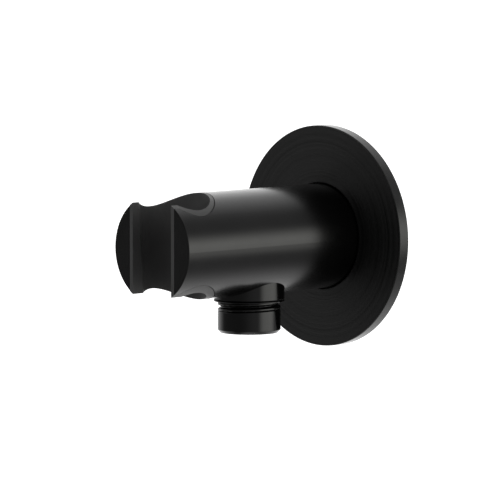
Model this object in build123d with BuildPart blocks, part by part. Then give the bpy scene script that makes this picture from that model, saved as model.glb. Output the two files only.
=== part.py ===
from build123d import *
import os
from math import sqrt

# Hand shower bracket: a round wall outlet whose body holds the hand shower in an open tapered seat at its front.
# Millimetres. The wall is the plane y = 0, the body's axis is the Y axis, its front points to -Y, and +Z is up.
# Plane.XZ faces the room, so its offsets are distances from the wall.

os.makedirs("parts", exist_ok=True)

# Body
body_diameter = 35.0
body_reach = 82.0
body_rear_gap = 0.6
body_edge = 0.15

# Holder: a liner with a tapered seat and a slot, in a keyhole pocket of the body
seat_setback = 10.1
seat_top_diameter = 23.5
seat_bottom_diameter = 20.9
slot_width = 18.0
liner_diameter = 26.4
liner_leg_wall = 1.45
liner_clearance = 0.15

# Rosette, with a soft gasket in its back that also grips the body
rosette_diameter = 74.0
rosette_thickness = 4.0
rosette_edge = 0.2
rosette_clearance = 0.45
gasket_diameter = 60.0
gasket_thickness = 1.6
gasket_clearance = 0.05

# Pipe threads are plain cylinders at the major diameter of G1/2
thread_diameter = 20.955

# Inlet nipple: thread in the wall, spigot in the body
inlet_thread_length = 14.0
inlet_thread_chamfer = 1.0
spigot_diameter = 20.0
spigot_length = 22.0
socket_clearance = 0.05
socket_end_gap = 0.8
inlet_hex = 12.0
seal_ring_setback = 5.0
seal_ring_width = 2.2
seal_ring_height = 1.4
seal_ring_clearance = 0.05

# Grub screw from below, against the spigot
grub_distance = 8.0
grub_diameter = 5.0
grub_clearance = 0.05
grub_recess = 0.9
grub_hex = 2.5
grub_hex_depth = 3.0

# Waterway and hose outlet
waterway_diameter = 13.0
outlet_distance = 37.6
collar_diameter = 23.5
collar_drop = 1.8
collar_clearance = 0.1
spot_face_margin = 1.5
outlet_seal_thickness = 1.2
outlet_drop = 12.5
outlet_chamfer_height = 1.0
outlet_end_diameter = 19.4
outlet_hex = 10.0
shank_diameter = 18.0
shank_clearance = 0.05

# Non-return valve in the outlet, which closes against the shoulder under the hex
valve_bore_diameter = 15.6
valve_depth = 14.5
poppet_travel = 3.0
poppet_diameter = 13.0
poppet_thickness = 1.2
boss_diameter = 6.0
valve_seal_thickness = 1.4
valve_seal_clearance = 0.05
stem_diameter = 3.0
stem_clearance = 0.15
stem_end_gap = 0.6

# Guide for the poppet's stem, pressed into the outlet's end
guide_inset = 0.5
guide_height = 3.0
guide_ring_wall = 1.1
guide_rib_width = 1.0
guide_rib_count = 4
guide_hub_wall = 0.8
guide_hub_rise = 2.5
guide_clearance = 0.05

# Spring between guide and poppet
spring_wire = 0.4
spring_clearance = 0.35
spring_turns = 3.0
spring_end_gap = 0.05
wire_sides = 4

# Derived sizes of body, holder and rosette
body_radius = body_diameter / 2
seat_y = seat_setback - body_reach
liner_radius = liner_diameter / 2
pocket_radius = liner_radius + liner_clearance
liner_width = slot_width + 2 * liner_leg_wall
pocket_width = liner_width + 2 * liner_clearance
gasket_radius = gasket_diameter / 2

# Derived sizes of the inlet
thread_radius = thread_diameter / 2
spigot_radius = spigot_diameter / 2
socket_radius = spigot_radius + socket_clearance
socket_depth = spigot_length + socket_end_gap
seal_ring_distance = spigot_length - seal_ring_setback
seal_ring_radius = socket_radius - seal_ring_clearance
seal_groove_radius = seal_ring_radius - seal_ring_height - seal_ring_clearance
seal_groove_width = seal_ring_width + 2 * seal_ring_clearance
grub_hole_radius = grub_diameter / 2 + grub_clearance
grub_bottom = grub_recess - body_radius
grub_top = -spigot_radius - grub_clearance

# Derived sizes of the outlet
outlet_y = -outlet_distance
outlet_axis = Axis((0, outlet_y, 0), (0, 0, 1))
outlet_section = Plane((0, outlet_y, 0), x_dir=(1, 0, 0), z_dir=(0, -1, 0))
waterway_radius = waterway_diameter / 2
collar_radius = collar_diameter / 2
spot_face_radius = collar_radius + collar_clearance
spot_face_z = spot_face_margin - sqrt(body_radius**2 - spot_face_radius**2)
collar_top = spot_face_z - outlet_seal_thickness
collar_bottom = -body_radius - collar_drop
outlet_end = -body_radius - outlet_drop
shank_radius = shank_diameter / 2
shank_hole_radius = shank_radius + shank_clearance
shank_top = -waterway_radius

# Derived sizes of the valve
valve_bore_radius = valve_bore_diameter / 2
valve_seat = outlet_end + valve_depth
valve_seal_top = valve_seat - valve_seal_clearance
poppet_top = valve_seal_top - valve_seal_thickness
poppet_bottom = poppet_top - poppet_thickness
poppet_radius = poppet_diameter / 2
boss_radius = boss_diameter / 2
stem_radius = stem_diameter / 2
stem_bottom = outlet_end + stem_end_gap + poppet_travel
guide_radius = valve_bore_radius - guide_clearance
guide_bottom = outlet_end + guide_inset
guide_top = guide_bottom + guide_height
hub_bore_radius = stem_radius + stem_clearance
hub_radius = hub_bore_radius + guide_hub_wall
hub_top = guide_top + guide_hub_rise
spring_radius = hub_radius + spring_clearance + spring_wire / 2
spring_bottom = guide_top + spring_end_gap + spring_wire / 2
spring_height = poppet_bottom - spring_end_gap - spring_wire / 2 - spring_bottom


with BuildPart() as holder_body:
    with BuildSketch(Plane.XZ.offset(body_rear_gap)):
        Circle(body_radius)
    extrude(amount=body_reach - body_rear_gap)
    chamfer(holder_body.edges().sort_by(Axis.Y)[0], length=body_edge)

    # Keyhole pocket for the liner, open to the top, the bottom and the front
    with BuildSketch(Plane.XY.offset(-body_radius)):
        with Locations((0, seat_y)):
            Circle(pocket_radius)
            Rectangle(pocket_width, seat_setback, align=(Align.CENTER, Align.MAX))
    extrude(amount=body_diameter, mode=Mode.SUBTRACT)

    # Socket for the inlet nipple's spigot, and the waterway from there to the outlet
    with BuildSketch(Plane.XZ.offset(body_rear_gap)):
        Circle(socket_radius)
    extrude(amount=socket_depth - body_rear_gap, mode=Mode.SUBTRACT)
    with BuildSketch(Plane.XZ.offset(socket_depth)):
        Circle(waterway_radius)
    extrude(amount=outlet_distance + waterway_radius - socket_depth, mode=Mode.SUBTRACT)

    # Hole for the outlet's shank, up to the middle of the waterway, and the spot face for its collar
    with BuildSketch(Plane.XY):
        with Locations((0, outlet_y)):
            Circle(shank_hole_radius)
    extrude(amount=-body_radius, mode=Mode.SUBTRACT)
    with BuildSketch(Plane.XY.offset(spot_face_z)):
        with Locations((0, outlet_y)):
            Circle(spot_face_radius)
    extrude(amount=-body_radius - spot_face_z, mode=Mode.SUBTRACT)

    # Hole for the grub screw in the underside
    with BuildSketch(Plane.XY.offset(-body_radius)):
        with Locations((0, -grub_distance)):
            Circle(grub_hole_radius)
    extrude(amount=body_radius, mode=Mode.SUBTRACT)

holder_body.part.label = "holder_body"
export_step(holder_body.part, "parts/holder_body.step")


with BuildPart() as holder_liner:
    with BuildSketch(Plane.XY.offset(-body_radius)):
        with Locations((0, seat_y)):
            Circle(liner_radius)
            Rectangle(liner_width, seat_setback, align=(Align.CENTER, Align.MAX))
    extrude(amount=body_diameter)

    # Tapered seat for the hand shower's cone, and the slot that leads into it
    with BuildSketch(Plane.XY.offset(-body_radius)):
        with Locations((0, seat_y)):
            Circle(seat_bottom_diameter / 2)
    with BuildSketch(Plane.XY.offset(body_radius)):
        with Locations((0, seat_y)):
            Circle(seat_top_diameter / 2)
    loft(mode=Mode.SUBTRACT)
    with BuildSketch(Plane.XY.offset(-body_radius)):
        with Locations((0, seat_y)):
            Rectangle(slot_width, seat_setback, align=(Align.CENTER, Align.MAX))
    extrude(amount=body_diameter, mode=Mode.SUBTRACT)

    # Its upper and lower edges continue the round of the body
    with BuildSketch(Plane.XZ):
        Circle(body_radius)
    extrude(amount=body_reach, mode=Mode.INTERSECT)

holder_liner.part.label = "holder_liner"
export_step(holder_liner.part, "parts/holder_liner.step")


with BuildPart() as wall_rosette:
    with BuildSketch(Plane.XZ):
        Circle(rosette_diameter / 2)
        Circle(body_radius + rosette_clearance, mode=Mode.SUBTRACT)
    extrude(amount=rosette_thickness)
    chamfer(wall_rosette.edges().group_by(Axis.Y)[0].sort_by(SortBy.RADIUS)[-1], length=rosette_edge)

    # Recess for the gasket
    with BuildSketch(Plane.XZ):
        Circle(gasket_radius + gasket_clearance)
    extrude(amount=gasket_thickness, mode=Mode.SUBTRACT)

wall_rosette.part.label = "wall_rosette"
export_step(wall_rosette.part, "parts/wall_rosette.step")


with BuildPart() as wall_gasket:
    with BuildSketch(Plane.XZ):
        Circle(gasket_radius)
        Circle(body_radius + gasket_clearance, mode=Mode.SUBTRACT)
    extrude(amount=gasket_thickness)

wall_gasket.part.label = "wall_gasket"
export_step(wall_gasket.part, "parts/wall_gasket.step")


with BuildPart() as inlet_nipple:
    with BuildSketch(Plane.XZ):
        Circle(thread_radius)
    extrude(amount=-inlet_thread_length)
    chamfer(inlet_nipple.edges().sort_by(Axis.Y)[-1], length=inlet_thread_chamfer)
    with BuildSketch(Plane.XZ):
        Circle(spigot_radius)
    extrude(amount=spigot_length)

    # Groove for the seal ring
    with BuildSketch(Plane.XZ.offset(seal_ring_distance - seal_groove_width / 2)):
        Circle(spigot_radius)
        Circle(seal_groove_radius, mode=Mode.SUBTRACT)
    extrude(amount=seal_groove_width, mode=Mode.SUBTRACT)

    # The waterway is a hex all the way, to turn the nipple into the wall
    with BuildSketch(Plane.XZ.offset(spigot_length)):
        RegularPolygon(inlet_hex / 2, side_count=6, major_radius=False)
    extrude(amount=-spigot_length - inlet_thread_length, mode=Mode.SUBTRACT)

inlet_nipple.part.label = "inlet_nipple"
export_step(inlet_nipple.part, "parts/inlet_nipple.step")


with BuildPart() as spigot_seal_ring:
    with BuildSketch(Plane.XZ.offset(seal_ring_distance - seal_ring_width / 2)):
        Circle(seal_ring_radius)
        Circle(seal_ring_radius - seal_ring_height, mode=Mode.SUBTRACT)
    extrude(amount=seal_ring_width)

spigot_seal_ring.part.label = "spigot_seal_ring"
export_step(spigot_seal_ring.part, "parts/spigot_seal_ring.step")


with BuildPart() as grub_screw:
    with BuildSketch(Plane.XY.offset(grub_bottom)):
        with Locations((0, -grub_distance)):
            Circle(grub_diameter / 2)
    extrude(amount=grub_top - grub_bottom)
    with BuildSketch(Plane.XY.offset(grub_bottom)):
        with Locations((0, -grub_distance)):
            RegularPolygon(grub_hex / 2, side_count=6, major_radius=False)
    extrude(amount=grub_hex_depth, mode=Mode.SUBTRACT)

grub_screw.part.label = "grub_screw"
export_step(grub_screw.part, "parts/grub_screw.step")


with BuildPart() as outlet_nipple:
    with BuildSketch(outlet_section):
        with BuildLine():
            Polyline(
                (0, shank_top),
                (shank_radius, shank_top),
                (shank_radius, collar_top),
                (collar_radius, collar_top),
                (collar_radius, collar_bottom),
                (thread_radius, collar_bottom),
                (thread_radius, outlet_end + outlet_chamfer_height),
                (outlet_end_diameter / 2, outlet_end),
                (0, outlet_end),
                close=True,
            )
        make_face()
    revolve(axis=outlet_axis)

    # Bore for the valve, and above its seat the hex that turns the nipple
    with BuildSketch(Plane.XY.offset(outlet_end)):
        with Locations((0, outlet_y)):
            Circle(valve_bore_radius)
    extrude(amount=valve_depth, mode=Mode.SUBTRACT)
    with BuildSketch(Plane.XY.offset(valve_seat)):
        with Locations((0, outlet_y)):
            RegularPolygon(outlet_hex / 2, side_count=6, major_radius=False)
    extrude(amount=shank_top - valve_seat, mode=Mode.SUBTRACT)

outlet_nipple.part.label = "outlet_nipple"
export_step(outlet_nipple.part, "parts/outlet_nipple.step")


with BuildPart() as outlet_seal:
    with BuildSketch(Plane.XY.offset(collar_top)):
        with Locations((0, outlet_y)):
            Circle(collar_radius)
            Circle(shank_hole_radius, mode=Mode.SUBTRACT)
    extrude(amount=outlet_seal_thickness)

outlet_seal.part.label = "outlet_seal"
export_step(outlet_seal.part, "parts/outlet_seal.step")


with BuildPart() as valve_guide:
    with BuildSketch(Plane.XY.offset(guide_bottom)):
        with Locations((0, outlet_y)):
            Circle(guide_radius)
            Circle(guide_radius - guide_ring_wall, mode=Mode.SUBTRACT)
            rib_length = guide_radius - guide_ring_wall / 2
            with PolarLocations(rib_length / 2, guide_rib_count):
                Rectangle(rib_length, guide_rib_width)
    extrude(amount=guide_height)
    with BuildSketch(Plane.XY.offset(guide_bottom)):
        with Locations((0, outlet_y)):
            Circle(hub_radius)
    extrude(amount=hub_top - guide_bottom)
    with BuildSketch(Plane.XY.offset(guide_bottom)):
        with Locations((0, outlet_y)):
            Circle(hub_bore_radius)
    extrude(amount=hub_top - guide_bottom, mode=Mode.SUBTRACT)

valve_guide.part.label = "valve_guide"
export_step(valve_guide.part, "parts/valve_guide.step")


with BuildPart() as valve_poppet:
    with BuildSketch(outlet_section):
        with BuildLine():
            Polyline(
                (0, stem_bottom),
                (stem_radius, stem_bottom),
                (stem_radius, poppet_bottom),
                (poppet_radius, poppet_bottom),
                (poppet_radius, poppet_top),
                (boss_radius, poppet_top),
                (boss_radius, valve_seal_top),
                (0, valve_seal_top),
                close=True,
            )
        make_face()
    revolve(axis=outlet_axis)

valve_poppet.part.label = "valve_poppet"
export_step(valve_poppet.part, "parts/valve_poppet.step")


with BuildPart() as valve_seal:
    with BuildSketch(Plane.XY.offset(poppet_top)):
        with Locations((0, outlet_y)):
            Circle(poppet_radius)
            Circle(boss_radius + valve_seal_clearance, mode=Mode.SUBTRACT)
    extrude(amount=valve_seal_thickness)

valve_seal.part.label = "valve_seal"
export_step(valve_seal.part, "parts/valve_seal.step")


# A coil of wire, whose section is drawn with few sides
with BuildPart() as valve_spring:
    with BuildLine() as coil:
        Helix(spring_height / spring_turns, spring_height, spring_radius, center=(0, outlet_y, spring_bottom))
    with BuildSketch(Plane(coil.line @ 0, z_dir=coil.line % 0)):
        RegularPolygon(spring_wire / 2, side_count=wire_sides)
    sweep(path=coil.line, is_frenet=True)

valve_spring.part.label = "valve_spring"
export_step(valve_spring.part, "parts/valve_spring.step")
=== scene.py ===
from math import cos, pi, radians, sin, tan

import bmesh
import bpy
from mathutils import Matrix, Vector


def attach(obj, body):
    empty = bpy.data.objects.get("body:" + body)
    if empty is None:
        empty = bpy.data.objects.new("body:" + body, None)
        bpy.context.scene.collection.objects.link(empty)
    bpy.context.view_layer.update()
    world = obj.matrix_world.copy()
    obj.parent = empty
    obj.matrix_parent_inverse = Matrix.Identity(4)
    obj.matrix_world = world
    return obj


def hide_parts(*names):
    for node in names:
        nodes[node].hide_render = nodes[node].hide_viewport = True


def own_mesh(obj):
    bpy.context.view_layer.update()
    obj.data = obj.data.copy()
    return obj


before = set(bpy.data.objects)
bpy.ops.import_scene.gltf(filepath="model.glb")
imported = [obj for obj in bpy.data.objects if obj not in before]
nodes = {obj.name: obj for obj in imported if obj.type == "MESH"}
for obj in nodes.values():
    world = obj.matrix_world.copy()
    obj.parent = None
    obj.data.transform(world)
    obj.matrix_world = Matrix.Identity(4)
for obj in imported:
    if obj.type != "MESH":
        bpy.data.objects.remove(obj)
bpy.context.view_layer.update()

# Sizes in millimetres that several pieces share, as in the CAD model
MM = 0.001
BODY_RADIUS = 17.5
SEAT_Y = -71.9
LINER_RADIUS = 13.2
OUTLET_Y = -37.6
THREAD_RADIUS = 20.955 / 2
THREAD_PITCH = 1.814
GASKET_RADIUS = 30.0
GASKET_THICKNESS = 1.6


# Materials

# Most of a noise texture's values lie between these
NOISE_LOW = 0.3
NOISE_HIGH = 0.7

# Heights of bumps, and the width of the rings on a turned face
GRAIN_HEIGHT = 0.02
RING_HEIGHT = 0.06
RING_SIZE = 1.2

# Painted shade along the liner's seam, which widens the seam's thin shadow: its width, its tone, its added
# roughness, and where it starts and is full behind the axis, in shares of the radius
LINER_SEAM_SHADE_WIDTH = 0.2
LINER_SEAM_SHADE_TONE = 0.05
LINER_SEAM_DULLNESS = 0.5
LINER_SEAM_SHADE_REAR = (0.2, 0.6)


def new_material(name):
    material = bpy.data.materials.new(name)
    material.use_nodes = True
    return material, material.node_tree.nodes["Principled BSDF"]


def add_node(tree, kind, inputs=None, **settings):
    """Adds a shader node; an input is a value, or a socket that is linked to it."""
    node = tree.nodes.new(kind)
    for key, value in settings.items():
        setattr(node, key, value)
    for key, value in (inputs or {}).items():
        if isinstance(value, bpy.types.NodeSocket):
            tree.links.new(value, node.inputs[key])
        else:
            node.inputs[key].default_value = value
    return node


def calculate(tree, operation, first, second=0.0):
    return add_node(tree, "ShaderNodeMath", {0: first, 1: second}, operation=operation).outputs[0]


def noise(tree, vector, size, detail=2.0, rough=0.6):
    """Noise whose patches are about size millimetres across."""
    made = add_node(tree, "ShaderNodeTexNoise", {
        "Vector": vector, "Scale": 1 / (size * MM), "Detail": detail, "Roughness": rough,
    })
    return made.outputs["Fac"]


def spread(tree, value, low, high, start=NOISE_LOW, end=NOISE_HIGH):
    made = add_node(tree, "ShaderNodeMapRange", {0: value, 1: start, 2: end, 3: low, 4: high})
    return made.outputs[0]


def blend_colours(tree, value, first, second):
    made = add_node(tree, "ShaderNodeValToRGB", {"Fac": value})
    stops = zip(made.color_ramp.elements, (NOISE_LOW, NOISE_HIGH), (first, second))
    for element, position, colour in stops:
        element.position = position
        element.color = (*colour, 1)
    return made.outputs["Color"]


def reach_about(tree, place, axis):
    """How far a place lies from the axis with this letter."""
    split = add_node(tree, "ShaderNodeSeparateXYZ", {0: place})
    across = {letter: split.outputs[letter] for letter in "XYZ" if letter != axis}
    flat = add_node(tree, "ShaderNodeCombineXYZ", across)
    length = add_node(tree, "ShaderNodeVectorMath", {0: flat.outputs[0]}, operation="LENGTH")
    return length.outputs["Value"]


def grey(tone):
    return tone, tone, tone


def coated(name, dark, light, rough, grain, grain_size, specular=0.5, metal=0.0, cloud_size=9.0):
    """A finish with fine grain in its surface and slow, faint changes of tone and gloss."""
    material, shader = new_material(name)
    tree = material.node_tree
    place = add_node(tree, "ShaderNodeTexCoord").outputs["Object"]
    cloud = noise(tree, place, cloud_size, detail=3.0, rough=0.5)
    fine = noise(tree, place, grain_size)
    tree.links.new(blend_colours(tree, cloud, dark, light), shader.inputs["Base Color"])
    tree.links.new(spread(tree, cloud, *rough), shader.inputs["Roughness"])
    bump = add_node(tree, "ShaderNodeBump", {
        "Height": fine, "Strength": grain, "Distance": GRAIN_HEIGHT * MM,
    })
    tree.links.new(bump.outputs["Normal"], shader.inputs["Normal"])
    shader.inputs["Specular IOR Level"].default_value = specular
    shader.inputs["Metallic"].default_value = metal
    return material


def turned(name, dark, light, rough, grain, grain_size, specular):
    """The coated finish of a disc that was faced on a lathe: faint rings about the Y axis."""
    material, shader = new_material(name)
    tree = material.node_tree
    place = add_node(tree, "ShaderNodeTexCoord").outputs["Object"]
    rings = add_node(tree, "ShaderNodeTexNoise", {
        "W": reach_about(tree, place, "Y"), "Scale": 1 / (RING_SIZE * MM), "Detail": 3.0, "Roughness": 0.65,
    }, noise_dimensions="1D").outputs["Fac"]
    fine = noise(tree, place, grain_size)
    tree.links.new(blend_colours(tree, rings, dark, light), shader.inputs["Base Color"])
    tree.links.new(spread(tree, rings, *rough), shader.inputs["Roughness"])
    bump = add_node(tree, "ShaderNodeBump", {
        "Height": fine, "Strength": grain, "Distance": GRAIN_HEIGHT * MM,
    })
    lines = add_node(tree, "ShaderNodeBump", {
        "Height": rings, "Strength": 1.0, "Distance": RING_HEIGHT * MM, "Normal": bump.outputs["Normal"],
    })
    tree.links.new(lines.outputs["Normal"], shader.inputs["Normal"])
    shader.inputs["Specular IOR Level"].default_value = specular
    return material


def shade_seam(material, centre, radius):
    """Paints shade on the rear edge of the liner, round its upright axis, where its seam lies, and dulls it
    there.
    """
    tree = material.node_tree
    shader = tree.nodes["Principled BSDF"]
    place = add_node(tree, "ShaderNodeTexCoord").outputs["Object"]
    offset = add_node(tree, "ShaderNodeVectorMath", {0: place, 1: Vector(centre) * MM}, operation="SUBTRACT")
    beside = offset.outputs[0]
    behind = add_node(tree, "ShaderNodeSeparateXYZ", {0: beside}).outputs["Y"]
    starts, full = (share * radius * MM for share in LINER_SEAM_SHADE_REAR)
    rear = spread(tree, behind, 0.0, 1.0, starts, full)
    inner, outer = (radius - LINER_SEAM_SHADE_WIDTH) * MM, (radius - LINER_SEAM_SHADE_WIDTH / 2) * MM
    edge = spread(tree, reach_about(tree, beside, "Z"), 0.0, 1.0, inner, outer)
    seam = calculate(tree, "MULTIPLY", edge, rear)
    colour = shader.inputs["Base Color"].links[0].from_socket
    rough = shader.inputs["Roughness"].links[0].from_socket
    # The seam's mask scales the liner's colour down: this is painted shade along the seam
    tone = spread(tree, seam, 1.0, LINER_SEAM_SHADE_TONE, 0.0, 1.0)
    toned = add_node(tree, "ShaderNodeVectorMath", {0: colour, 3: tone}, operation="SCALE")
    dulled = calculate(tree, "ADD", rough, spread(tree, seam, 0.0, LINER_SEAM_DULLNESS, 0.0, 1.0))
    tree.links.new(toned.outputs[0], shader.inputs["Base Color"])
    tree.links.new(dulled, shader.inputs["Roughness"])


body_black = coated(
    "body_black", grey(0.0004), grey(0.0008), rough=(0.21, 0.24), grain=0.06, grain_size=0.22)
rosette_black = turned(
    "rosette_black", grey(0.0008), grey(0.0028), rough=(0.34, 0.50), grain=0.05, grain_size=0.25,
    specular=0.45)
rim_black = coated(
    "rim_black", grey(0.0030), grey(0.0100), rough=(0.22, 0.30), grain=0.05, grain_size=0.25,
    specular=0.45)
outlet_black = coated(
    "outlet_black", grey(0.0004), grey(0.0008), rough=(0.13, 0.17), grain=0.03, grain_size=0.25)
# A darker, less glossy copy of the outlet's finish: painted shade for the thread's groove and the collar's
# seam
groove_painted_shade = coated(
    "groove_painted_shade", grey(0.0003), grey(0.0006), rough=(0.45, 0.55), grain=0.05, grain_size=0.25,
    specular=0.08)
liner_grey = coated(
    "liner_grey", grey(0.031), grey(0.037), rough=(0.42, 0.48), grain=0.20, grain_size=0.18,
    specular=0.4)
shade_seam(liner_grey, (0.0, SEAT_Y, 0.0), LINER_RADIUS)
seal_rubber = coated(
    "seal_rubber", grey(0.012), grey(0.020), rough=(0.60, 0.75), grain=0.25, grain_size=0.30)
nipple_brass = coated(
    "nipple_brass", (0.62, 0.43, 0.17), (0.74, 0.54, 0.25), rough=(0.24, 0.36), grain=0.12, grain_size=0.30,
    metal=1.0)
screw_steel = coated(
    "screw_steel", (0.50, 0.50, 0.51), (0.62, 0.62, 0.63), rough=(0.26, 0.36), grain=0.12, grain_size=0.15,
    metal=1.0)
valve_white = coated(
    "valve_white", (0.74, 0.74, 0.72), (0.82, 0.82, 0.80), rough=(0.38, 0.46), grain=0.10, grain_size=0.20)


# Meshes

# Faces that meet at more than this angle have a sharp edge between them
SHARP_ANGLE = radians(35)

# Rounding of turned edges, and the largest share of a side that it takes up
EDGE = 0.12
EDGE_SHARE = 0.4


def add_piece(name, points, faces, material, slot, stands_for, body="bracket"):
    """Makes a mesh from points in millimetres, with its own material, that stands for a CAD node."""
    mesh = bpy.data.meshes.new(name)
    mesh.from_pydata([Vector(p) * MM for p in points], [], faces)
    shell = bmesh.new()
    shell.from_mesh(mesh)
    bmesh.ops.recalc_face_normals(shell, faces=shell.faces)
    shell.to_mesh(mesh)
    shell.free()
    mesh.polygons.foreach_set("use_smooth", [True] * len(mesh.polygons))
    mesh.set_sharp_from_angle(angle=SHARP_ANGLE)
    mesh.materials.append(material)
    piece = bpy.data.objects.new(name, mesh)
    bpy.context.scene.collection.objects.link(piece)
    piece.modifiers.new("flat_faces_first", "WEIGHTED_NORMAL").keep_sharp = True
    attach(piece, body)
    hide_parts(stands_for)
    return piece


def add_second_material(piece, material, chosen):
    """Gives a second material to the faces of a piece that are chosen."""
    piece.data.materials.append(material)
    for face in piece.data.polygons:
        face.material_index = int(chosen(face))


def corner(r, h, kind="", edge=EDGE):
    """A corner of a turned outline: its radius, its height, what shapes it there and its rounding."""
    return Vector((r, h)), kind, edge


def rounded(corners, steps=3):
    """The closed outline (r, h, kind) through the corners, each rounded by a small arc."""
    outline = []
    for i, (spot, kind, edge) in enumerate(corners):
        before = corners[i - 1][0] - spot
        after = corners[(i + 1) % len(corners)][0] - spot
        longest = EDGE_SHARE * min(before.length, after.length)
        reach = min(edge / tan(before.angle(after) / 2), longest)
        first = spot + before.normalized() * reach
        last = spot + after.normalized() * reach
        for step in range(steps + 1):
            t = step / steps
            bend = first * (1 - t) ** 2 + spot * 2 * t * (1 - t) + last * t ** 2
            outline.append((bend.x, bend.y, kind))
    return outline


def divided(outline, low, high, length):
    """The outline with more points on its straight run between two heights."""
    made = []
    for i, (r, h, kind) in enumerate(outline):
        made.append((r, h, kind))
        next_r, next_h = outline[(i + 1) % len(outline)][:2]
        rise = next_h - h
        is_straight = abs(next_r - r) < 1e-6
        if is_straight and max(h, next_h) <= high and min(h, next_h) >= low and abs(rise) > length:
            count = round(abs(rise) / length)
            made += [(r, h + rise * k / count, kind) for k in range(1, count)]
    return made


def lathe(outline, place, shape, turns=192):
    """Turns a closed outline (r, h, kind) about an axis; shape gives a point's radius and height there."""
    points = []
    for r, h, kind in outline:
        for k in range(turns):
            angle = 2 * pi * k / turns
            points.append(place(angle, *shape(angle, r, h, kind)))
    rings = len(outline)
    faces = []
    for i in range(rings):
        here, there = i * turns, (i + 1) % rings * turns
        for k in range(turns):
            n = (k + 1) % turns
            faces.append((here + k, here + n, there + n, there + k))
    return points, faces


def about_y(angle, r, h):
    return r * cos(angle), h, -r * sin(angle)


def about_outlet(angle, r, h):
    return r * cos(angle), OUTLET_Y + r * sin(angle), h


def plain_shape(angle, r, h, kind):
    return r, h


def hexagon(angle):
    """How far a hexagon's edge lies from its centre, as a share of its inner radius."""
    return 1 / cos((angle % (pi / 3)) - pi / 6)


def clamp(value):
    return min(1.0, max(0.0, value))


def ramp(value, start, end):
    """A smooth step from 0 to 1."""
    t = clamp((value - start) / (end - start))
    return t * t * (3 - 2 * t)


# Hose outlet: the collar with its seam, a round thread that runs out below it, the chamfered end and the bore

OUTLET_TOP = -6.5
OUTLET_HEX_RADIUS = 5.0
SHANK_RADIUS = 9.0
VALVE_SEAT = -15.5
VALVE_BORE_RADIUS = 7.8
OUTLET_END = -30.0
OUTLET_END_RADIUS = 9.7

COLLAR_RADIUS = 11.75
COLLAR_TOP = -12.58
COLLAR_BOTTOM = -19.58
COLLAR_EDGE = 0.15
COLLAR_UNDERCUT = 0.05

# The seam is a notch round the collar
SEAM_LEVEL = -19.00
SEAM_HALF = 0.30
SEAM_DEPTH = 0.35
SEAM_UPPER_EDGE = 0.03
SEAM_LOWER_EDGE = 0.08

# The thread starts as a deep groove and runs out as a fine line. Places along it are in turns, counted from a
# level at an angle, and flanks across it are in shares of the pitch
THREAD_TOP = COLLAR_BOTTOM + COLLAR_UNDERCUT
THREAD_END = -29.0
THREAD_STEP = 0.07
GROOVE_LEVEL = -20.60
GROOVE_ANGLE = radians(45.4)
GROOVE_DEPTH = 1.0
GROOVE_FIRST_DEPTH = 0.65
GROOVE_DEEPENS = (-0.7, 0.0)
GROOVE_FADES = (0.5, 1.15)
GROOVE_FLANKS = (-0.42, -0.14), (-0.02, 0.40)
LINE_DEPTH = 0.32
LINE_FADES = (1.3, 1.9)
LINE_FLANKS = (-0.40, -0.24), (-0.24, -0.06)

# Depths from which seam and groove get the painted shade and the groove's floor shines again with the
# outlet's own finish.
# What lies past a limit is another surface
SEAM_SHADE = 0.02
SEAM_LIMIT = 0.75
GROOVE_SHADE = 0.15
GROOVE_FLOOR = 0.90
GROOVE_LIMIT = 1.20


def groove_depth(place, across):
    """How deep the thread is cut at a place along it and across it."""
    def section(upper, lower):
        return ramp(across, *upper) * (1 - ramp(across, *lower))

    deep = GROOVE_FIRST_DEPTH + (GROOVE_DEPTH - GROOVE_FIRST_DEPTH) * ramp(place, *GROOVE_DEEPENS)
    fine = LINE_DEPTH * (1 - ramp(place, *LINE_FADES))
    fade = ramp(place, *GROOVE_FADES)
    return deep * section(*GROOVE_FLANKS) * (1 - fade) + fine * section(*LINE_FLANKS) * fade


def outlet_shape(angle, r, h, kind):
    if kind == "hex":
        return r * hexagon(angle), h
    if kind == "thread":
        below = (GROOVE_LEVEL - h) / THREAD_PITCH
        turn = (angle - GROOVE_ANGLE) / (2 * pi)
        groove = round(below + turn) - turn
        return r - groove_depth(groove, below - groove), h
    return r, h


def lies_in_shade(face):
    """Whether a face of the outlet lies in the thread's groove or in the collar's seam, where shade is
    painted on.
    """
    spot = face.center / MM
    reach = Vector((spot.x, spot.y - OUTLET_Y)).length
    depth = THREAD_RADIUS - reach
    on_floor = depth > GROOVE_FLOOR and face.normal.z > 0.0
    in_groove = THREAD_END < spot.z < THREAD_TOP and GROOVE_SHADE < depth < GROOVE_LIMIT
    in_seam = abs(spot.z - SEAM_LEVEL) < SEAM_HALF and SEAM_SHADE < COLLAR_RADIUS - reach < SEAM_LIMIT
    return in_seam or (in_groove and not on_floor)


outlet_corners = [
    corner(OUTLET_HEX_RADIUS, OUTLET_TOP, "hex"),
    corner(SHANK_RADIUS, OUTLET_TOP),
    corner(SHANK_RADIUS, COLLAR_TOP),
    corner(COLLAR_RADIUS, COLLAR_TOP),
    corner(COLLAR_RADIUS, SEAM_LEVEL + SEAM_HALF, edge=SEAM_UPPER_EDGE),
    corner(COLLAR_RADIUS - SEAM_DEPTH, SEAM_LEVEL, edge=SEAM_UPPER_EDGE),
    corner(COLLAR_RADIUS, SEAM_LEVEL - SEAM_HALF, edge=SEAM_LOWER_EDGE),
    corner(COLLAR_RADIUS, COLLAR_BOTTOM, edge=COLLAR_EDGE),
    corner(THREAD_RADIUS, THREAD_TOP, "thread"),
    corner(THREAD_RADIUS, THREAD_END, "thread"),
    corner(OUTLET_END_RADIUS, OUTLET_END),
    corner(VALVE_BORE_RADIUS, OUTLET_END),
    corner(VALVE_BORE_RADIUS, VALVE_SEAT),
    corner(OUTLET_HEX_RADIUS, VALVE_SEAT, "hex"),
]
outlet_outline = divided(rounded(outlet_corners), THREAD_END, THREAD_TOP, THREAD_STEP)
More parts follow.
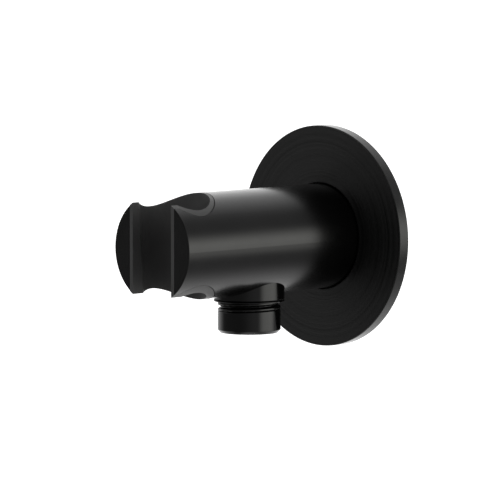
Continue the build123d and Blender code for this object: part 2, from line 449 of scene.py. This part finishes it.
outlet_mesh = lathe(outlet_outline, about_outlet, outlet_shape)
hose_outlet = add_piece("hose_outlet", *outlet_mesh, outlet_black, "outlet_black", "outlet_nipple")
# Faces in the groove and the seam get the painted shade
add_second_material(hose_outlet, groove_painted_shade, lies_in_shade)


# Inlet nipple: a full pipe thread, the spigot with its seal groove and the hex waterway

INLET_HEX_RADIUS = 6.0
INLET_END = 14.0
INLET_CHAMFER = 1.0
INLET_THREAD_TOP = INLET_END - INLET_CHAMFER
INLET_THREAD_STEP = 0.09
INLET_THREAD_DEPTH = 1.10

# The share of the pitch that is flat at a crest and at a root, and where the thread's depth runs in and out
INLET_THREAD_FLAT = 0.12
INLET_RUN_IN = 0.6
INLET_RUN_OUT = 0.8
INLET_RUN_OUT_END = 13.4

SPIGOT_RADIUS = 10.0
SPIGOT_END = -22.0
SEAL_GROOVE_RADIUS = 8.55
SEAL_GROOVE_FRONT = -18.15
SEAL_GROOVE_REAR = -15.85


def inlet_shape(angle, r, h, kind):
    if kind == "hex":
        return r * hexagon(angle), h
    if kind == "thread":
        ridge = abs((h / THREAD_PITCH - angle / (2 * pi)) % 1.0 - 0.5) * 2
        wave = clamp((ridge - INLET_THREAD_FLAT) / (1 - 2 * INLET_THREAD_FLAT))
        ends = clamp((INLET_RUN_OUT_END - h) / INLET_RUN_OUT) * clamp(h / INLET_RUN_IN)
        return r - INLET_THREAD_DEPTH * wave * ends, h
    return r, h


inlet_corners = [
    corner(INLET_HEX_RADIUS, INLET_END, "hex"),
    corner(THREAD_RADIUS - INLET_CHAMFER, INLET_END),
    corner(THREAD_RADIUS, INLET_THREAD_TOP, "thread"),
    corner(THREAD_RADIUS, 0.0, "thread"),
    corner(SPIGOT_RADIUS, 0.0),
    corner(SPIGOT_RADIUS, SEAL_GROOVE_REAR),
    corner(SEAL_GROOVE_RADIUS, SEAL_GROOVE_REAR),
    corner(SEAL_GROOVE_RADIUS, SEAL_GROOVE_FRONT),
    corner(SPIGOT_RADIUS, SEAL_GROOVE_FRONT),
    corner(SPIGOT_RADIUS, SPIGOT_END),
    corner(INLET_HEX_RADIUS, SPIGOT_END, "hex"),
]
inlet_outline = divided(rounded(inlet_corners), 0.0, INLET_THREAD_TOP, INLET_THREAD_STEP)
inlet_mesh = lathe(inlet_outline, about_y, inlet_shape)
add_piece("inlet_connection", *inlet_mesh, nipple_brass, "nipple_brass", "inlet_nipple")


# Rosette: a flat disc with a rounded front edge and the gasket's recess in its back

ROSETTE_RADIUS = 37.0
ROSETTE_FRONT = -4.0
ROSETTE_BORE = BODY_RADIUS + 0.45
ROSETTE_EDGE = 0.35
ROSETTE_BORE_EDGE = 0.05
ROSETTE_EDGE_STEPS = 5
RECESS_RADIUS = GASKET_RADIUS + 0.05
RIM_START = 36.6
DISC_TURNS = 256


def lies_on_rim(face):
    return Vector((face.center.x, face.center.z)).length > RIM_START * MM


rosette_corners = [
    corner(ROSETTE_BORE, ROSETTE_FRONT, edge=ROSETTE_BORE_EDGE),
    corner(ROSETTE_RADIUS, ROSETTE_FRONT, edge=ROSETTE_EDGE),
    corner(ROSETTE_RADIUS, 0.0),
    corner(RECESS_RADIUS, 0.0),
    corner(RECESS_RADIUS, -GASKET_THICKNESS),
    corner(ROSETTE_BORE, -GASKET_THICKNESS),
]
rosette_mesh = lathe(rounded(rosette_corners, ROSETTE_EDGE_STEPS), about_y, plain_shape, DISC_TURNS)
rosette_disc = add_piece("rosette_disc", *rosette_mesh, rosette_black, "body_black", "wall_rosette")
add_second_material(rosette_disc, rim_black, lies_on_rim)


# Gasket: a soft ring in the rosette's recess that grips the body

GASKET_BORE = BODY_RADIUS - 0.2
gasket_corners = [
    corner(GASKET_BORE, -GASKET_THICKNESS),
    corner(GASKET_RADIUS, -GASKET_THICKNESS),
    corner(GASKET_RADIUS, 0.0),
    corner(GASKET_BORE, 0.0),
]
gasket_mesh = lathe(rounded(gasket_corners), about_y, plain_shape, DISC_TURNS)
add_piece("soft_gasket", *gasket_mesh, seal_rubber, "seal_rubber", "wall_gasket")


# Valve spring: round wire

SPRING_RADIUS = 3.0
SPRING_WIRE_RADIUS = 0.2
SPRING_LOW = -26.25
SPRING_HIGH = -18.4
SPRING_TURNS = 3.0


def coil(radius, wire, low, high, turns, around=12, along=220):
    points = []
    for i in range(along + 1):
        angle = 2 * pi * turns * i / along
        h = low + (high - low) * i / along
        for k in range(around):
            a = 2 * pi * k / around
            points.append(about_outlet(angle, radius + wire * cos(a), h + wire * sin(a)))
    faces = [tuple(range(around - 1, -1, -1))]
    for i in range(along):
        here, there = i * around, (i + 1) * around
        for k in range(around):
            n = (k + 1) % around
            faces.append((here + k, here + n, there + n, there + k))
    faces.append(tuple(along * around + k for k in range(around)))
    return points, faces


spring_mesh = coil(SPRING_RADIUS, SPRING_WIRE_RADIUS, SPRING_LOW, SPRING_HIGH, SPRING_TURNS)
spring = add_piece("closing_spring", *spring_mesh, screw_steel, "screw_steel", "valve_spring")
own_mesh(spring)


# CAD nodes that keep their own mesh

for name, material in {
    "holder_body": body_black,
    "holder_liner": liner_grey,
    "spigot_seal_ring": seal_rubber,
    "grub_screw": screw_steel,
    "outlet_seal": seal_rubber,
    "valve_guide": valve_white,
    "valve_poppet": valve_white,
    "valve_seal": seal_rubber,
}.items():
    nodes[name].material_slots[0].material = material


# Floor: a pale plane that only the camera sees

FLOOR_Z = -0.30
FLOOR_REACH = 60.0
floor_mesh = bpy.data.meshes.new("floor")
floor_mesh.from_pydata([
    (-FLOOR_REACH, -FLOOR_REACH, FLOOR_Z), (FLOOR_REACH, -FLOOR_REACH, FLOOR_Z),
    (FLOOR_REACH, FLOOR_REACH, FLOOR_Z), (-FLOOR_REACH, FLOOR_REACH, FLOOR_Z),
], [], [(0, 1, 2, 3)])
floor = bpy.data.objects.new("floor", floor_mesh)
bpy.context.scene.collection.objects.link(floor)
pale_floor, pale_shader = new_material("pale_floor")
pale_shader.inputs["Base Color"].default_value = (0.9, 0.9, 0.9, 1)
pale_shader.inputs["Roughness"].default_value = 0.9
pale_shader.inputs["Emission Color"].default_value = (1, 1, 1, 1)
pale_shader.inputs["Emission Strength"].default_value = 0.9
floor_mesh.materials.append(pale_floor)
floor.visible_glossy = False
floor.visible_diffuse = False
floor.visible_shadow = False


# Studio: a grey room, darker at the front left, with soft glows around the object and a softbox to its right

WHITE = (1, 1, 1, 1)
WARM_WHITE = (1.0, 1.0, 0.95, 1)
BACKDROP_RADIANCE = 1.3
ROOM_RADIANCE = 0.33

# The front left of the room, and how dark it is
DARK_SIDE = (-0.34, -0.94, 0.0)
DARK_RADIANCE = 0.13

# In front, the room's upper and lower parts keep only this share of their light
FRONT = (0.0, -1.0, 0.0)
FRONT_SHARE = 0.2

SOFTBOX_SIDE = (0.899, 0.438, 0.0)
SOFTBOX_LEVEL = 0.068
SOFTBOX_HEIGHT = 0.44
SOFTBOX_RADIANCE = 2.15

# Each glow's direction, the cosines of the angles at which it starts and is full, and its radiance
GLOWS = [
    ((-0.50, 0.70, 0.50), 0.62, 1.00, 0.75),
    ((-0.906, 0.42, 0.0), 0.50, 0.90, 0.60),
    ((-0.45, 0.60, -0.66), 0.50, 0.98, 0.94),
    ((0.0, 0.0, -1.0), 0.93, 1.00, 0.80),
    ((-0.60, -0.63, 0.48), 0.90, 0.99, 1.00),
    ((-0.57, -0.57, -0.59), 0.90, 0.99, 1.00),
]

world = bpy.data.worlds.new("studio")
bpy.context.scene.world = world
world.use_nodes = True
room = world.node_tree
ray = add_node(room, "ShaderNodeTexCoord").outputs["Generated"]
height = add_node(room, "ShaderNodeSeparateXYZ", {0: ray}).outputs["Z"]


def soft_step(value, start, end, low, high):
    made = add_node(room, "ShaderNodeMapRange", {"Value": value, 1: start, 2: end, 3: low, 4: high},
                    interpolation_type="SMOOTHSTEP")
    return made.outputs[0]


def toward(direction, start, end, low, high):
    """A soft step in brightness, by how nearly a ray points in a direction."""
    unit = Vector(direction).normalized()
    facing = add_node(room, "ShaderNodeVectorMath", {0: ray, 1: unit}, operation="DOT_PRODUCT")
    return soft_step(facing.outputs["Value"], start, end, low, high)


steep = soft_step(calculate(room, "ABSOLUTE", height), 0.45, 0.65, 0.0, 1.0)
steep_front = calculate(room, "MULTIPLY", steep, toward(FRONT, 0.05, 0.45, 0.0, 1.0))
share = soft_step(steep_front, 0.0, 1.0, 1.0, FRONT_SHARE)
glow = calculate(room, "MULTIPLY", toward(DARK_SIDE, 0.0, 0.90, ROOM_RADIANCE, DARK_RADIANCE), share)
for direction, start, full, radiance in GLOWS:
    glow = calculate(room, "ADD", glow, toward(direction, start, full, 0.0, radiance))

off_level = calculate(room, "ABSOLUTE", calculate(room, "SUBTRACT", height, SOFTBOX_LEVEL))
strip = soft_step(off_level, 0.0, SOFTBOX_HEIGHT, SOFTBOX_RADIANCE, 0.0)
softbox = calculate(room, "MULTIPLY", strip, toward(SOFTBOX_SIDE, 0.78, 0.99, 0.0, 1.0))

soft_light = add_node(room, "ShaderNodeBackground", {"Color": WHITE, "Strength": glow})
warm_light = add_node(room, "ShaderNodeBackground", {"Color": WARM_WHITE, "Strength": softbox})
lit = add_node(room, "ShaderNodeAddShader", {0: soft_light.outputs[0], 1: warm_light.outputs[0]})
backdrop = add_node(room, "ShaderNodeBackground", {"Color": WHITE, "Strength": BACKDROP_RADIANCE})
seen = add_node(room, "ShaderNodeLightPath").outputs["Is Camera Ray"]
shown = add_node(room, "ShaderNodeMixShader", {0: seen, 1: lit.outputs[0], 2: backdrop.outputs[0]})
room.links.new(shown.outputs[0], room.nodes["World Output"].inputs["Surface"])


# Lamps that fill the matt surfaces and don't show in the glossy ones

FILL_REACH = 1.5
FILL_SIZE = 1.2


def add_fill(name, direction, radiance):
    """A large soft square of light that faces the object."""
    data = bpy.data.lights.new(name, "AREA")
    data.size = FILL_SIZE
    data.energy = radiance * pi * data.size ** 2
    fill = bpy.data.objects.new(name, data)
    bpy.context.scene.collection.objects.link(fill)
    unit = Vector(direction).normalized()
    fill.location = unit * FILL_REACH
    fill.rotation_mode = "QUATERNION"
    fill.rotation_quaternion = (-unit).to_track_quat("-Z", "Y")
    fill.visible_camera = False
    fill.visible_glossy = False


add_fill("fill_right_above", (0.93, 0.16, 0.34), 1.7)
add_fill("fill_right_below", (0.93, 0.16, -0.34), 0.4)
add_fill("fill_rear_below", (0.60, 0.72, -0.34), 1.8)
add_fill("fill_front_above", (-0.20, -0.54, 0.82), 2.4)
add_fill("fill_front", (0.34, -0.94, 0.0), 1.0)
add_fill("fill_back", (-0.45, 0.80, 0.35), 1.5)


# Camera at the photograph's place

CAMERA_PLACE = (1.34014, -1.35796, 0.16380)
CAMERA_AZIMUTH = radians(45.4161)
CAMERA_DROP = radians(5.0588)
FOCAL_PIXELS = 5708.6
FRAME_PIXELS = 500
camera_data = bpy.data.cameras.new("camera")
camera = bpy.data.objects.new("camera", camera_data)
bpy.context.scene.collection.objects.link(camera)
camera_data.sensor_width = 36.0
camera_data.lens = camera_data.sensor_width * FOCAL_PIXELS / FRAME_PIXELS
camera_data.clip_start = 0.05
camera_data.clip_end = 200.0
level_reach = cos(CAMERA_DROP)
ahead = Vector((-sin(CAMERA_AZIMUTH) * level_reach, cos(CAMERA_AZIMUTH) * level_reach, -sin(CAMERA_DROP)))
camera.location = CAMERA_PLACE
camera.rotation_mode = "QUATERNION"
camera.rotation_quaternion = ahead.to_track_quat("-Z", "Y")
bpy.context.scene.camera = camera
bpy.context.scene.view_settings.view_transform = "Standard"
bpy.context.scene.view_settings.look = "None"
